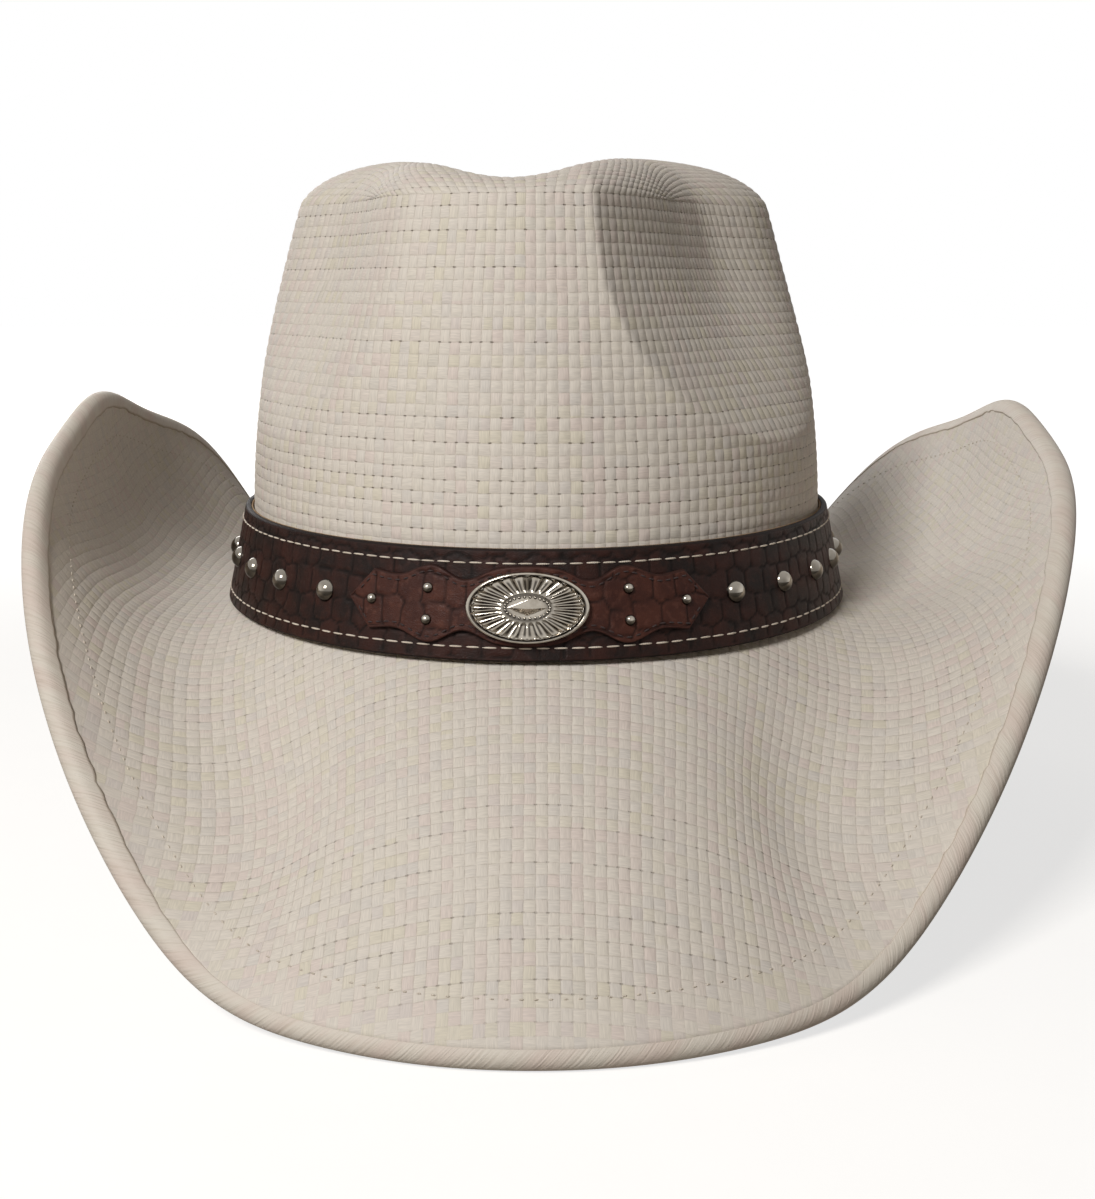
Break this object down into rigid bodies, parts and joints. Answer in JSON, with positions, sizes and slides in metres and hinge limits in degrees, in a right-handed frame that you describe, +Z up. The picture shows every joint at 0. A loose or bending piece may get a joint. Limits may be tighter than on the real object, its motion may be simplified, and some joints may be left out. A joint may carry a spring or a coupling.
{
  "type": "cowboy hat",
  "caption": "Woven straw cowboy hat: pinched crown, wired brim curled up at the sides and drooping front and back, and a lift-off studded leather band with an oval ornament.",
  "frame": {"origin": "middle of the overall width and length, on the surface that the front and back of the brim stand on", "axes": "+Z up along the crown, -Y the way the wearer looks, +X to the left hand of someone who wears it, which is on the right when the hat is seen from the front"},
  "size_m": [0.3005, 0.3732, 0.1901],
  "materials": {
    "straw": "flat woven strips, sized and painted cream",
    "straw_edge": "turned and pressed straw hem",
    "wire_steel": "plain drawn wire",
    "sleeve_plastic": "extruded tube",
    "sweatband_fabric": "ribbed elastic",
    "band_leather": "embossed scale grain, semi gloss",
    "overlay_leather": "embossed scale grain, semi gloss",
    "band_lining": "thin pressed lining",
    "polished_nickel": "polished nickel plate",
    "plain_steel": "plain"
  },
  "bodies": {
    "hat": {"crown": "straw", "brim": "straw", "brim_hem": "straw_edge", "brim_wire": "wire_steel", "wire_sleeve": "sleeve_plastic", "sweatband": "sweatband_fabric"},
    "hatband": {"band_strap": "band_leather", "band_lining": "band_lining", "front_overlay": "overlay_leather", "back_tab": "overlay_leather", "concho": "polished_nickel", "concho_posts": "plain_steel", "concho_post_backs": "plain_steel", "dome_studs_left": "polished_nickel", "dome_studs_right": "polished_nickel", "overlay_studs_left": "polished_nickel", "overlay_studs_right": "polished_nickel", "back_tab_rivets": "polished_nickel", "dome_stud_backs_left": "plain_steel", "dome_stud_backs_right": "plain_steel", "overlay_stud_backs_left": "plain_steel", "overlay_stud_backs_right": "plain_steel", "back_tab_rivet_backs": "plain_steel"}
  },
  "joints": [
    {"name": "hatband_lift", "type": "slide", "parent": "hat", "child": "hatband", "axis": [0, 0, 1], "range_m": [0, 0.13]}
  ]
}
